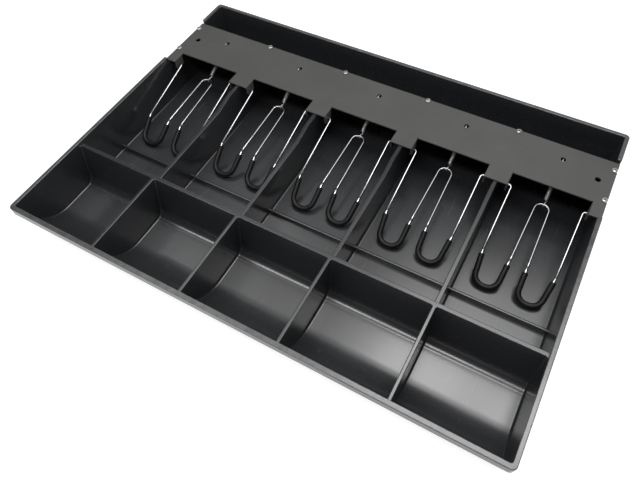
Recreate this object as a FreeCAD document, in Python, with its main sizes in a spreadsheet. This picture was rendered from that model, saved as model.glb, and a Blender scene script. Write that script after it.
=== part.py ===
import FreeCAD, Part
import math
import os

import Sketcher
from FreeCAD import Placement, Rotation, Vector

# Cash drawer insert: a moulded tray with five coin cups and five note compartments, a steel cover
# plate screwed over the rear, and five sprung wire note clips that hinge in the plate's ears.
# Frame: +Z up, -Y to the front, origin at the middle of the tray's underside.
# Lines across the tray are given as distances from its front edge, and drops from its rim.

BAYS = 5
COIL_TURNS = 10

SIZES = {
    "tray_width": 391.0,
    "tray_depth": 281.0,
    "tray_height": 43.0,
    "tray_wall": 2.4,
    "tray_draft": 1.0,
    "rim_side": 3.2,
    "rim_front": 3.7,
    "rim_skirt": 7.5,
    "rim_corner": 3.5,
    "rim_edge": 0.6,
    "inner_round": 1.5,
    "under_round": 4.0,
    "cup_divider": 2.4,
    "cup_wall_drop": 3.0,
    "scoop_round": 34.0,
    "cup_back_lean": 10.0,
    "cup_back_round": 9.0,
    "cross_wall_line": 75.2,
    "cross_wall_top": 2.8,
    "cross_wall_core": 22.0,
    "note_divider": 3.0,
    "note_divider_drop": 8.5,
    "ramp_length": 17.0,
    "ramp_to_plate": 13.5,
    "ridge_to_tip": 15.3,
    "ridge_width": 2.5,
    "ridge_height": 5.0,
    "ridge_round": 1.1,
    "trough_depth": 27.2,
    "rear_wall_top": 2.6,
    "plate_thickness": 1.2,
    "plate_drop": 3.0,
    "plate_depth": 57.5,
    "plate_lap": 3.0,
    "plate_gap": 1.0,
    "plate_bend": 1.1,
    "tab_width": 18.7,
    "notch_depth": 13.0,
    "ear_length": 10.0,
    "ear_depth": 11.0,
    "ear_round": 4.0,
    "anchor_inset": 14.5,
    "anchor_hole": 2.0,
    "mount_inset": 11.1,
    "mount_rear_inset": 22.5,
    "mount_hole": 2.25,
    "end_screw_inset": 2.2,
    "end_screw_front_inset": 17.5,
    "end_screw_rear_inset": 8.4,
    "screw_shank": 1.1,
    "screw_length": 7.0,
    "screw_tip": 1.2,
    "screw_bite": 0.15,
    "screw_head": 2.2,
    "screw_head_height": 1.3,
    "screw_crown": 0.6,
    "screw_slot": 1.3,
    "boss_radius": 3.0,
    "boss_floor": 2.0,
    "clip_wire": 1.0,
    "pin_clearance": 0.05,
    "pivot_inset": 6.1,
    "pivot_drop": 9.7,
    "pin_reach": 6.0,
    "pin_bend": 2.2,
    "arm_to_ear": 2.75,
    "elbow_reach": 53.1,
    "elbow_drop": 24.8,
    "elbow_bend": 12.0,
    "inner_elbow_spread": 6.5,
    "tip_reach": 75.1,
    "tip_gap": 0.3,
    "tip_taper": 2.5,
    "tip_inner_spread": 7.5,
    "tip_straight": 0.4,
    "arch_reach": 1.3,
    "arch_drop": 19.0,
    "arch_spread": 5.3,
    "arch_bend": 5.2,
    "sleeve_radius": 2.2,
    "sleeve_clearance": 0.05,
    "sleeve_start": 2.0,
    "spring_wire": 0.3,
    "coil_radius": 1.5,
    "coil_start": 4.5,
    "coil_length": 14.5,
    "hook_clearance": 0.15,
    "hook_radius": 1.6,
    "hook_end": 1.0,
}

document = FreeCAD.newDocument("CashDrawerInsert")
sheet = document.addObject("Spreadsheet::Sheet", "Sizes")
for row, (size_name, size_value) in enumerate(SIZES.items(), start=1):
    sheet.set(f"A{row}", size_name)
    sheet.set(f"B{row}", str(size_value))
    sheet.setAlias(f"B{row}", size_name)
document.recompute()


class Size:
    """A number together with the sheet expression that it comes from."""

    def __init__(self, number, words):
        self.number = number
        self.words = words

    def __add__(self, other):
        return combine(self, other, "+")

    def __radd__(self, other):
        return combine(other, self, "+")

    def __sub__(self, other):
        return combine(self, other, "-")

    def __rsub__(self, other):
        return combine(other, self, "-")

    def __mul__(self, other):
        return combine(self, other, "*")

    def __rmul__(self, other):
        return combine(other, self, "*")

    def __truediv__(self, other):
        return combine(self, other, "/")

    def __neg__(self):
        return combine(0, self, "-")


def combine(first, second, sign):
    """Work out a sum or product as a number and as an expression at once."""
    first, second = as_size(first), as_size(second)
    results = {
        "+": lambda a, b: a + b,
        "-": lambda a, b: a - b,
        "*": lambda a, b: a * b,
        "/": lambda a, b: a / b,
    }
    number = results[sign](first.number, second.number)
    return Size(number, f"({first.words} {sign} {second.words})")


def as_size(thing):
    return thing if isinstance(thing, Size) else Size(float(thing), str(thing))


def slope(angle):
    """The tangent of an angle in degrees."""
    return Size(math.tan(math.radians(angle.number)), f"tan({angle.words} * 1 deg)")


class Cells:
    """Every driving size of the sheet, by its alias."""

    def __init__(self, names):
        for name in names:
            setattr(self, name, Size(float(getattr(sheet, name)), "Sizes." + name))


cell = Cells(SIZES)


def bind(thing, path, size):
    """Drive a property of a document object from the sheet."""
    thing.setExpression(path, as_size(size).words)


def from_front(line):
    """Y of a line that is given as its distance from the tray's front edge."""
    return line - cell.tray_depth / 2


def below_rim(drop):
    """Z of a level that is given as its drop below the rim."""
    return cell.tray_height - drop


def bay_centre(bay):
    """X of a bay's middle, for bays 0 to 4 from the left."""
    return bay_pitch * (bay - (BAYS - 1) / 2)


half_width = cell.tray_width / 2
bay_pitch = cell.tray_width / BAYS
seat_level = below_rim(cell.plate_drop + cell.plate_thickness)
plate_top_level = below_rim(cell.plate_drop)

# Lines behind one another, all held to the tray's rear edge
rear_wall_line = cell.tray_depth - cell.rim_side - cell.trough_depth - cell.rear_wall_top
rear_screw_line = rear_wall_line + cell.rear_wall_top / 2
plate_rear_line = rear_wall_line + cell.plate_lap
plate_front_line = plate_rear_line - cell.plate_depth
notch_rear_line = plate_front_line + cell.notch_depth
anchor_line = plate_rear_line - cell.anchor_inset
mount_line = plate_rear_line - cell.mount_rear_inset
end_screw_front_line = plate_front_line + cell.end_screw_front_inset
end_screw_rear_line = plate_rear_line - cell.end_screw_rear_inset
ramp_end = plate_front_line - cell.ramp_to_plate
ramp_start = ramp_end - cell.ramp_length
pivot_line = plate_front_line + cell.pivot_inset
elbow_line = pivot_line - cell.elbow_reach
tip_line = pivot_line - cell.tip_reach
arch_line = pivot_line + cell.arch_reach
ridge_line = tip_line - cell.ridge_to_tip

# Spreads of a clip's wire from its bay's middle, held to the notch that it hangs in
notch_width = bay_pitch - cell.tab_width
arm_spread = notch_width / 2 - cell.arm_to_ear
tip_outer_spread = arm_spread - cell.tip_taper
tip_bend = (tip_outer_spread - cell.tip_inner_spread - cell.tip_straight) / 2


# Sketches and features

def new_body(name):
    return document.addObject("PartDesign::Body", name)


def new_sketch(body, role, name, offset=None):
    """A sketch on one of the body's own origin planes, or parallel to it at an offset."""
    sketch = body.newObject("Sketcher::SketchObject", name)
    plane = [feature for feature in body.Origin.OriginFeatures if feature.Role == role][0]
    sketch.AttachmentSupport = (plane, [""])
    sketch.MapMode = "FlatFace"
    if offset is not None:
        bind(sketch, "AttachmentOffset.Base.z", offset)
    return sketch


def drive(sketch, kind, item, point, size, name):
    """Hold a point's distance from the sketch's origin to a size of the sheet."""
    number = sketch.addConstraint(Sketcher.Constraint(kind, -1, 1, item, point, size.number))
    sketch.renameConstraint(number, name)
    bind(sketch, "Constraints." + name, size)


def draw_polygon(sketch, corners):
    """Close a polygon whose corners are pairs of sizes."""
    corners = [(as_size(across), as_size(up)) for across, up in corners]
    spots = [Vector(across.number, up.number, 0) for across, up in corners]
    for number, spot in enumerate(spots):
        following = spots[(number + 1) % len(spots)]
        sketch.addGeometry(Part.LineSegment(spot, following), False)
    for number in range(len(spots)):
        following = (number + 1) % len(spots)
        sketch.addConstraint(Sketcher.Constraint("Coincident", number, 2, following, 1))
    for number, (across, up) in enumerate(corners):
        drive(sketch, "DistanceX", number, 1, across, f"across_{number}")
        drive(sketch, "DistanceY", number, 1, up, f"up_{number}")


def draw_circles(sketch, centres, radius):
    """Draw equal circles whose centres are pairs of sizes."""
    for number, (across, up) in enumerate(centres):
        across, up = as_size(across), as_size(up)
        middle = Vector(across.number, up.number, 0)
        item = sketch.addGeometry(Part.Circle(middle, Vector(0, 0, 1), radius.number), False)
        drive(sketch, "DistanceX", item, 3, across, f"across_{number}")
        drive(sketch, "DistanceY", item, 3, up, f"up_{number}")
        held = sketch.addConstraint(Sketcher.Constraint("Radius", item, radius.number))
        sketch.renameConstraint(held, f"radius_{number}")
        bind(sketch, f"Constraints.radius_{number}", radius)


def rectangle(left, right, low, high):
    return [(left, low), (right, low), (right, high), (left, high)]


def pad(body, sketch, name, length):
    feature = body.newObject("PartDesign::Pad", name)
    feature.Profile = sketch
    bind(feature, "Length", length)
    document.recompute()
    return feature


def pocket(body, sketch, name, kind="ThroughAll"):
    """Cut a sketch right through, both ways from its plane."""
    feature = body.newObject("PartDesign::Pocket", name)
    feature.Profile = sketch
    feature.Type = kind
    feature.Midplane = True
    document.recompute()
    return feature


def round_edges(body, base, name, radius, wanted):
    """Round the edges of a feature that pass a test."""
    names = [f"Edge{n}" for n, edge in enumerate(base.Shape.Edges, 1) if wanted(edge)]
    feature = body.newObject("PartDesign::Fillet", name)
    feature.Base = (base, names)
    bind(feature, "Radius", radius)
    document.recompute()
    return feature


def runs_along(edge, axis):
    """Whether a straight edge lies along X (0), Y (1) or Z (2), give or take the draft."""
    if not isinstance(edge.Curve, Part.Line):
        return False
    return abs(edge.Curve.Direction[axis]) > 0.99


def middle_of(edge):
    return edge.valueAt((edge.FirstParameter + edge.LastParameter) / 2)


def is_at(edge, axis, size):
    """Whether an edge's middle has this coordinate along an axis."""
    return abs(middle_of(edge)[axis] - as_size(size).number) < 0.01


def side_faces(shape):
    """The numbers of the flat faces that look along X, give or take the draft."""
    found = []
    for number, face in enumerate(shape.Faces, 1):
        if isinstance(face.Surface, Part.Plane) and abs(face.normalAt(0, 0).x) > 0.99:
            found.append(number)
    return found


def in_side_chain(shape, below):
    """A test for the edges round the side faces that don't lie at the top."""
    chain = [edge for number in side_faces(shape) for edge in shape.Faces[number - 1].Edges]

    def wanted(edge):
        at_top = edge.BoundBox.ZMin > below.number - 0.01
        return not at_top and any(edge.isSame(other) for other in chain)

    return wanted


def drafted_block(name, left, right, profile):
    """A block along X with a side profile, its ends leaning in by the draft below the rim."""
    body = new_body(name)
    sketch = new_sketch(body, "YZ_Plane", name + "_profile")
    draw_polygon(sketch, profile)
    block = pad(body, sketch, name + "_block", right - left)
    top = max(range(len(block.Shape.Faces)), key=lambda n: block.Shape.Faces[n].CenterOfMass.z)
    draft = body.newObject("PartDesign::Draft", name + "_draft")
    draft.Base = (block, [f"Face{number}" for number in side_faces(block.Shape)])
    draft.NeutralPlane = (block, [f"Face{top + 1}"])
    bind(draft, "Angle", cell.tray_draft)
    bind(body, "Placement.Base.x", left)
    document.recompute()
    document.recompute()
    return body, draft


def moulded_block(name, left, right, profile, front_round, rear_round, side_round):
    """A drafted block with its foot edges rounded, for a tray's outside or for a hollow in it.

    The profile runs from the front top corner down, along the foot and up to the rear top corner.
    """
    body, draft = drafted_block(name, left, right, profile)
    top = profile[0][1]

    def foot_edge(corner):
        return lambda edge: (
            runs_along(edge, 0) and is_at(edge, 1, corner[0]) and is_at(edge, 2, corner[1])
        )

    front = round_edges(body, draft, name + "_front", front_round, foot_edge(profile[1]))
    rear = round_edges(body, front, name + "_rear", rear_round, foot_edge(profile[2]))
    round_edges(body, rear, name + "_sides", side_round, in_side_chain(rear.Shape, top))
    return body


def plain_pocket(name, left, right, front, rear, floor):
    """A hollow with drafted walls all round, from the rim down to a floor."""
    lean = (cell.tray_height - floor) * slope(cell.tray_draft)
    profile = [
        (front, cell.tray_height),
        (front + lean, floor),
        (rear - lean, floor),
        (rear, cell.tray_height),
    ]
    rounds = cell.inner_round
    return moulded_block(name, left, right, profile, rounds, rounds, rounds)


def bay_sides(bay, divider):
    """The X of a bay's left and right wall at the rim."""
    left = bay_centre(bay) - bay_pitch / 2 + divider / 2
    right = bay_centre(bay) + bay_pitch / 2 - divider / 2
    if bay == 0:
        left = -half_width + cell.rim_side
    if bay == BAYS - 1:
        right = half_width - cell.rim_side
    return left, right


# The tray

def tray_shell():
    """The outside of the tray below its rim, with the front swept under the scoops."""
    step = cell.rim_side - cell.tray_wall
    front = from_front(cell.rim_front - cell.tray_wall)
    rear = from_front(cell.tray_depth - step)
    lean = cell.tray_height * slope(cell.tray_draft)
    floor = as_size(0)
    profile = [
        (front, cell.tray_height),
        (front, floor),
        (rear - lean, floor),
        (rear, cell.tray_height),
    ]
    return moulded_block(
        "tray_shell",
        -half_width + step,
        half_width - step,
        profile,
        cell.scoop_round + cell.tray_wall,
        cell.under_round,
        cell.under_round,
    )


def rim_band():
    """The thicker band that runs round the tray's top."""
    body = new_body("rim_band")
    low = below_rim(cell.rim_skirt)
    sketch = new_sketch(body, "XY_Plane", "rim_outline", low)
    rear = cell.tray_depth / 2
    draw_polygon(sketch, rectangle(-half_width, half_width, -rear, rear))
    block = pad(body, sketch, "rim_block", cell.rim_skirt)
    corners = round_edges(
        body, block, "rim_corners", cell.rim_corner, lambda edge: runs_along(edge, 2)
    )
    top = cell.tray_height
    round_edges(body, corners, "rim_edges", cell.rim_edge, lambda edge: is_at(edge, 2, top))
    return body


def coin_cup(bay):
    """The hollow of one coin cup: a big scoop in front, a leaning back wall, rounded feet."""
    left, right = bay_sides(bay, cell.cup_divider)
    floor = cell.tray_wall
    front = from_front(cell.rim_front)
    rear_top = from_front(cell.cross_wall_line)
    rear_foot = rear_top - (cell.tray_height - floor) * slope(cell.cup_back_lean)
    profile = [
        (front, cell.tray_height),
        (front, floor),
        (rear_foot, floor),
        (rear_top, cell.tray_height),
    ]
    return moulded_block(
        f"coin_cup_{bay + 1}",
        left,
        right,
        profile,
        cell.scoop_round,
        cell.cup_back_round,
        cell.inner_round,
    )


def note_bay(bay):
    left, right = bay_sides(bay, cell.note_divider)
    front = from_front(cell.cross_wall_line + cell.cross_wall_top)
    rear = from_front(rear_wall_line)
    return plain_pocket(f"note_bay_{bay + 1}", left, right, front, rear, cell.tray_wall)


def rear_trough():
    front = from_front(rear_wall_line + cell.rear_wall_top)
    rear = from_front(cell.tray_depth - cell.rim_side)
    left = -half_width + cell.rim_side
    return plain_pocket("rear_trough", left, -left, front, rear, cell.tray_wall)


def divider_clearance():
    """What is cut away above the dividers, the cross wall and the rear wall."""
    top = cell.tray_height
    rear_top = from_front(cell.tray_depth - cell.rim_side)
    rear_lean = (top - seat_level) * slope(cell.tray_draft)
    cup_level = below_rim(cell.cup_wall_drop)
    note_level = below_rim(cell.note_divider_drop)
    cross_wall_rear = from_front(cell.cross_wall_line + cell.cross_wall_top)
    profile = [
        (from_front(cell.rim_front), top),
        (from_front(cell.rim_front), cup_level),
        (cross_wall_rear, cup_level),
        (cross_wall_rear, note_level),
        (from_front(ramp_start), note_level),
        (from_front(ramp_end), seat_level),
        (rear_top - rear_lean, seat_level),
        (rear_top, top),
    ]
    left = -half_width + cell.rim_side
    body, draft = drafted_block("divider_clearance", left, -left, profile)

    def is_corner(edge):
        return runs_along(edge, 2) and edge.BoundBox.ZMax > top.number - 0.01

    round_edges(body, draft, "clearance_corners", cell.inner_round, is_corner)
    return body


def plate_recess():
    """The step in the two side rims that the cover plate's ends lie in."""
    box = document.addObject("Part::Box", "plate_recess")
    bind(box, "Length", cell.tray_width)
    bind(box, "Width", plate_rear_line - plate_front_line + cell.plate_gap * 2)
    bind(box, "Height", cell.tray_height - seat_level)
    bind(box, "Placement.Base.x", -half_width)
    bind(box, "Placement.Base.y", from_front(plate_front_line - cell.plate_gap))
    bind(box, "Placement.Base.z", seat_level)
    return box


def cross_wall_hollow():
    """The wedge under the cross wall, open below, that keeps its two sides one wall thick."""
    body = new_body("cross_wall_hollow")
    sketch = new_sketch(body, "YZ_Plane", "hollow_profile")
    lean = slope(cell.cup_back_lean)
    draft = slope(cell.tray_draft)
    height = cell.tray_height
    high = cell.cross_wall_core
    front = from_front(cell.cross_wall_line) + cell.tray_wall
    rear = from_front(cell.cross_wall_line + cell.cross_wall_top) - cell.tray_wall
    draw_polygon(
        sketch,
        [
            (front - height * lean, as_size(0)),
            (rear + height * draft, as_size(0)),
            (rear + (height - high) * draft, high),
            (front - (height - high) * lean, high),
        ],
    )
    side = half_width - cell.rim_side - cell.tray_wall
    pad(body, sketch, "hollow_block", side * 2)
    bind(body, "Placement.Base.x", -side)
    return body


def note_ridge():
    """The low ridge across every note compartment, which props up the notes' front edges."""
    body = new_body("note_ridge")
    sketch = new_sketch(body, "YZ_Plane", "ridge_profile")
    front = from_front(ridge_line)
    low = cell.tray_wall / 2
    high = cell.tray_wall + cell.ridge_height
    draw_polygon(sketch, rectangle(front, front + cell.ridge_width, low, high))
    side = half_width - cell.rim_side + cell.tray_wall / 2
    block = pad(body, sketch, "ridge_block", side * 2)
    round_edges(
        body,
        block,
        "ridge_top",
        cell.ridge_round,
        lambda edge: runs_along(edge, 0) and is_at(edge, 2, high),
    )
    bind(body, "Placement.Base.x", -side)
    return body


def upright_cylinder(name, radius, place, low, high):
    cylinder = document.addObject("Part::Cylinder", name)
    bind(cylinder, "Radius", radius)
    bind(cylinder, "Height", high - low)
    bind(cylinder, "Placement.Base.x", place[0])
    bind(cylinder, "Placement.Base.y", place[1])
    bind(cylinder, "Placement.Base.z", low)
    return cylinder


def rear_screw_places():
    """One screw over each note divider, at the plate's rear edge."""
    places = []
    for divider in range(1, BAYS):
        across = bay_centre(divider) - bay_pitch / 2
        places.append((across, from_front(rear_screw_line)))
    return places


def end_screw_places():
    """Two screws at each end of the plate."""
    inset = half_width - cell.end_screw_inset
    lines = [end_screw_front_line, end_screw_rear_line]
    return [(across, from_front(line)) for across in (-inset, inset) for line in lines]


def group(kind, name, members):
    feature = document.addObject(kind, name)
    feature.Shapes = members
    return feature


def screw_bosses(envelope):
    """Round bosses under the eight screws, trimmed to the tray's outside."""
    bosses = []
    for number, place in enumerate(rear_screw_places(), 1):
        low = cell.tray_wall / 2
        bosses.append(
            upright_cylinder(f"rear_boss_{number}", cell.boss_radius, place, low, seat_level)
        )
    for number, place in enumerate(end_screw_places(), 1):
        low = plate_top_level - cell.screw_length - cell.boss_floor
        bosses.append(
            upright_cylinder(f"end_boss_{number}", cell.boss_radius, place, low, seat_level)
        )
    trimmed = document.addObject("Part::Common", "screw_bosses")
    trimmed.Base = envelope
    trimmed.Tool = group("Part::MultiFuse", "boss_cylinders", bosses)
    return trimmed


def pilot_holes():
    """The blind holes that the screws cut their threads in."""
    radius = cell.screw_shank - cell.screw_bite
    low = plate_top_level - cell.screw_length
    places = rear_screw_places() + end_screw_places()
    holes = [
        upright_cylinder(f"pilot_{number}", radius, place, low, cell.tray_height)
        for number, place in enumerate(places, 1)
    ]
    return group("Part::MultiFuse", "pilot_holes", holes)


def tray_envelope():
    """A plain block of the tray's outside size, to trim the bosses with."""
    box = document.addObject("Part::Box", "tray_envelope")
    bind(box, "Length", cell.tray_width)
    bind(box, "Width", cell.tray_depth)
    bind(box, "Height", cell.tray_height)
    bind(box, "Placement.Base.x", -half_width)
    bind(box, "Placement.Base.y", -cell.tray_depth / 2)
    return box


def make_tray():
    solid = group("Part::MultiFuse", "tray_solid", [tray_shell(), rim_band()])
    cups = [coin_cup(bay) for bay in range(BAYS)]
    note_bays = [note_bay(bay) for bay in range(BAYS)]
    clearances = [rear_trough(), divider_clearance(), plate_recess(), cross_wall_hollow()]
    hollowed = document.addObject("Part::Cut", "hollowed_tray")
    hollowed.Base = solid
    hollowed.Tool = group("Part::MultiFuse", "tray_hollows", cups + note_bays + clearances)
    additions = [hollowed, note_ridge(), screw_bosses(tray_envelope())]
    tray = document.addObject("Part::Cut", "tray")
    tray.Base = group("Part::MultiFuse", "ribbed_tray", additions)
    tray.Tool = pilot_holes()
    tray.Refine = True
    tray.Label = "tray"
    return tray


# The cover plate

def notch_sides():
    """The X of each notch's left and right side."""
    middles = [bay_centre(bay) for bay in range(BAYS)]
    return [(middle - notch_width / 2, middle + notch_width / 2) for middle in middles]


def cut_boxes(body, name, boxes):
    """Cut separate rectangles through the sheet."""
    sketch = new_sketch(body, "XY_Plane", name + "_outline", seat_level)
    draw_boxes(sketch, boxes)
    pocket(body, sketch, name)


def drill(body, name, centres, radius):
    """Drill equal holes through the sheet."""
    sketch = new_sketch(body, "XY_Plane", name + "_outline", seat_level)
    draw_circles(sketch, centres, radius)
    pocket(body, sketch, name)


def draw_boxes(sketch, boxes):
    """Draw separate rectangles, each held to the sheet at all four corners."""
    for number, box in enumerate(boxes):
        corners = [(as_size(across), as_size(up)) for across, up in rectangle(*box)]
        first = 4 * number
        spots = [Vector(across.number, up.number, 0) for across, up in corners]
        for side in range(4):
            sketch.addGeometry(Part.LineSegment(spots[side], spots[(side + 1) % 4]), False)
        for side in range(4):
            following = first + (side + 1) % 4
            sketch.addConstraint(Sketcher.Constraint("Coincident", first + side, 2, following, 1))
        for side, (across, up) in enumerate(corners):
            drive(sketch, "DistanceX", first + side, 1, across, f"across_{first + side}")
            drive(sketch, "DistanceY", first + side, 1, up, f"up_{first + side}")


def fold_ears(body, sheet_metal):
    """Fold an ear down at each side of each notch, rounded below and at its fold."""
    low = plate_top_level - cell.ear_depth
    front = from_front(pivot_line) - cell.ear_length / 2
    rear = front + cell.ear_length
    ears = sheet_metal
    for bay, (left, right) in enumerate(notch_sides(), 1):
        for side, start in (("left", left - cell.plate_thickness), ("right", right)):
            sketch = new_sketch(body, "YZ_Plane", f"{side}_ear_outline_{bay}", start)
            draw_polygon(sketch, rectangle(front, rear, low, plate_top_level))
            ears = pad(body, sketch, f"{side}_ear_{bay}", cell.plate_thickness)

    def is_foot_corner(edge):
        return runs_along(edge, 0) and is_at(edge, 2, low)

    def is_fold(edge):
        if not runs_along(edge, 1) or not is_at(edge, 2, plate_top_level):
            return False
        return any(is_at(edge, 0, side) for pair in notch_sides() for side in pair)

    rounded = round_edges(body, ears, "ear_corners", cell.ear_round, is_foot_corner)
    round_edges(body, rounded, "ear_folds", cell.plate_bend, is_fold)


def cut_screw_slots(body, rear):
    """A slot that is open to the plate's edge under each screw's head."""
    drill(body, "screw_holes", rear_screw_places() + end_screw_places(), cell.screw_slot)
    boxes = [
        (across - cell.screw_slot, across + cell.screw_slot, along, rear + cell.plate_gap)
        for across, along in rear_screw_places()
    ]
    for across, along in end_screw_places():
        edges = (across, half_width + cell.plate_gap)
        if across.number < 0:
            edges = (-half_width - cell.plate_gap, across)
        boxes.append((*edges, along - cell.screw_slot, along + cell.screw_slot))
    cut_boxes(body, "screw_slots", boxes)


def make_cover_plate():
    """Sheet steel, folded down at each side of each notch into an ear that holds a clip."""
    body = new_body("cover_plate")
    outline = new_sketch(body, "XY_Plane", "plate_outline", seat_level)
    front = from_front(plate_front_line)
    rear = from_front(plate_rear_line)
    draw_polygon(outline, rectangle(-half_width, half_width, front, rear))
    blank = pad(body, outline, "plate_blank", cell.plate_thickness)
    notch_rear = from_front(notch_rear_line)
    notches = [(*sides, front - cell.plate_gap, notch_rear) for sides in notch_sides()]
    cut_boxes(body, "notches", notches)
    fold_ears(body, blank)

    pivots = new_sketch(body, "YZ_Plane", "pivot_outline")
    pivot = (from_front(pivot_line), below_rim(cell.pivot_drop))
    draw_circles(pivots, [pivot], cell.clip_wire + cell.pin_clearance)
    pocket(body, pivots, "pivot_holes")

    anchors = [(bay_centre(bay), from_front(anchor_line)) for bay in range(BAYS)]
    drill(body, "anchor_holes", anchors, cell.anchor_hole)
    inset = half_width - cell.mount_inset
    mounts = [(side, from_front(mount_line)) for side in (-inset, inset)]
    drill(body, "mounting_holes", mounts, cell.mount_hole)
    cut_screw_slots(body, rear)
    body.Label = "cover_plate"
    return body


# The screws

def make_screw(name, place):
    """One pan-head screw, standing on the plate, its crown broken by a chamfer."""
    body = new_body(name)
    sketch = new_sketch(body, "XZ_Plane", name + "_profile")
    zero = as_size(0)
    shank = cell.screw_shank
    length = cell.screw_length
    draw_polygon(
        sketch,
        [
            (zero, -length),
            (shank / 2, -length),
            (shank, -length + cell.screw_tip),
            (shank, zero),
            (cell.screw_head, zero),
            (cell.screw_head, cell.screw_head_height - cell.screw_crown),
            (cell.screw_head - cell.screw_crown, cell.screw_head_height),
            (zero, cell.screw_head_height),
        ],
    )
    turned = body.newObject("PartDesign::Revolution", name + "_turned")
    turned.Profile = sketch
    turned.ReferenceAxis = (sketch, ["V_Axis"])
    turned.Angle = 360
    bind(body, "Placement.Base.x", place[0])
    bind(body, "Placement.Base.y", place[1])
    bind(body, "Placement.Base.z", plate_top_level)
    return body


def make_screws(label, places):
    screws = [make_screw(f"{label}_{n}", place) for n, place in enumerate(places, 1)]
    whole = document.addObject("Part::Compound", label)
    whole.Links = screws
    whole.Label = label
    return whole


# Bent wire

def place(across, line, drop):
    """A point of a bay: across from its middle, a line from the front, a drop from the rim."""
    return Vector(across, from_front(line).number, below_rim(drop).number)


def arc_between(start, direction, end):
    """The arc that leaves a point in a given direction and meets another point."""
    chord = end - start
    half_turn = direction.getAngle(chord)
    if half_turn < 1e-6:
        return Part.LineSegment(start, end).toShape()
    outward = direction - chord * (direction.dot(chord) / chord.dot(chord))
    outward.normalize()
    rise = chord.Length / 2 * math.tan(half_turn / 2)
    middle = (start + end) / 2 + outward * rise
    return Part.Arc(start, middle, end).toShape()


def rounded_route(corners, bends):
    """Straight runs through the corners, joined by a tangent arc of the given radius at each."""
    edges = []
    last = corners[0]
    for before, corner, after, bend in zip(corners, corners[1:], corners[2:], bends):
        arriving = (corner - before).normalize()
        leaving = (after - corner).normalize()
        cut = bend * math.tan(arriving.getAngle(leaving) / 2)
        start = corner - arriving * cut
        end = corner + leaving * cut
        edges.append(Part.LineSegment(last, start).toShape())
        edges.append(arc_between(start, arriving, end))
        last = end
    edges.append(Part.LineSegment(last, corners[-1]).toShape())
    return edges


def round_section(edge, radius):
    """The round wire section at the start of a stretch, square to it."""
    start = edge.valueAt(edge.FirstParameter)
    heading = edge.tangentAt(edge.FirstParameter)
    return Part.Wire([Part.Circle(start, heading, radius).toShape()])


def check_volume(solid, edges, section):
    """Stop if a wire doesn't hold its section times its length."""
    expected = Part.Face(section).Area * sum(edge.Length for edge in edges)
    if abs(solid.Volume - expected) > 0.01 * expected:
        raise RuntimeError(f"a wire holds {solid.Volume:.2f} mm3, not {expected:.2f}")


def bent_rod(edges, radius):
    """A round rod along runs and arcs: each run is extruded, and each arc is turned."""
    stretches = []
    for edge in edges:
        section = Part.Face(round_section(edge, radius))
        if isinstance(edge.Curve, Part.Line):
            run = edge.valueAt(edge.LastParameter) - edge.valueAt(edge.FirstParameter)
            stretches.append(section.extrude(run))
        else:
            turn = math.degrees(edge.Length / edge.Curve.Radius)
            stretches.append(section.revolve(edge.Curve.Center, edge.Curve.Axis, turn))
    solid = stretches[0].multiFuse(stretches[1:]).removeSplitter()
    check_volume(solid, edges, round_section(edges[0], radius))
    return solid.Solids[0]


def wound_wire(edges, radius):
    """A wire swept along a route of many arcs, as in a coil, its section a hexagon."""
    outline = round_section(edges[0], radius).discretize(7)
    section = Part.makePolygon(outline)
    solid = Part.Wire(edges).makePipeShell([section], True, False)
    check_volume(solid, edges, section)
    return solid


def clip_corners():
    """The corners of a clip's wire and their bends, from the left pin to the right one."""
    floor_drop = cell.tray_height.number - cell.tray_wall.number
    tip_drop = floor_drop - cell.sleeve_radius.number - cell.tip_gap.number
    pivot = (pivot_line.number, cell.pivot_drop.number)
    elbow = (elbow_line.number, cell.elbow_drop.number)
    tip = (tip_line.number, tip_drop)
    arch = (arch_line.number, cell.arch_drop.number)
    half = [
        (arm_spread.number + cell.pin_reach.number, pivot, None),
        (arm_spread.number, pivot, cell.pin_bend.number),
        (arm_spread.number, elbow, cell.elbow_bend.number),
        (tip_outer_spread.number, tip, tip_bend.number),
        (cell.tip_inner_spread.number, tip, tip_bend.number),
        (cell.inner_elbow_spread.number, elbow, cell.elbow_bend.number),
        (cell.arch_spread.number, arch, cell.arch_bend.number),
    ]
    left = [(place(-across, *spot), bend) for across, spot, bend in half]
    right = [(place(across, *spot), bend) for across, spot, bend in reversed(half)]
    return left + right


def new_feature(label, shape, bay):
    """A finished solid in its bay."""
    feature = document.addObject("Part::Feature", label)
    feature.Shape = shape
    feature.Label = label
    bind(feature, "Placement.Base.x", bay_centre(bay))
    return feature


def clip_wire():
    corners = clip_corners()
    spots = [spot for spot, bend in corners]
    bends = [bend for spot, bend in corners[1:-1]]
    return bent_rod(rounded_route(spots, bends), cell.clip_wire.number)


def sleeve(side):
    """The vinyl sleeve round the front of one loop: side is -1 for left, 1 for right."""
    corners = clip_corners()[1:7]
    spots = [Vector(spot.x * -side, spot.y, spot.z) for spot, bend in corners]
    elbow_bend = cell.elbow_bend.number
    ends = []
    for before, elbow, tip in (spots[0:3], spots[5:2:-1]):
        arriving = (elbow - before).normalize()
        leaving = (tip - elbow).normalize()
        past_bend = elbow_bend * math.tan(arriving.getAngle(leaving) / 2)
        ends.append(elbow + leaving * (past_bend + cell.sleeve_start.number))
    route = [ends[0], spots[2], spots[3], ends[1]]
    edges = rounded_route(route, [tip_bend.number] * 2)
    bore = cell.clip_wire.number + cell.sleeve_clearance.number
    return bent_rod(edges, cell.sleeve_radius.number).cut(bent_rod(edges, bore))


# Springs

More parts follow.
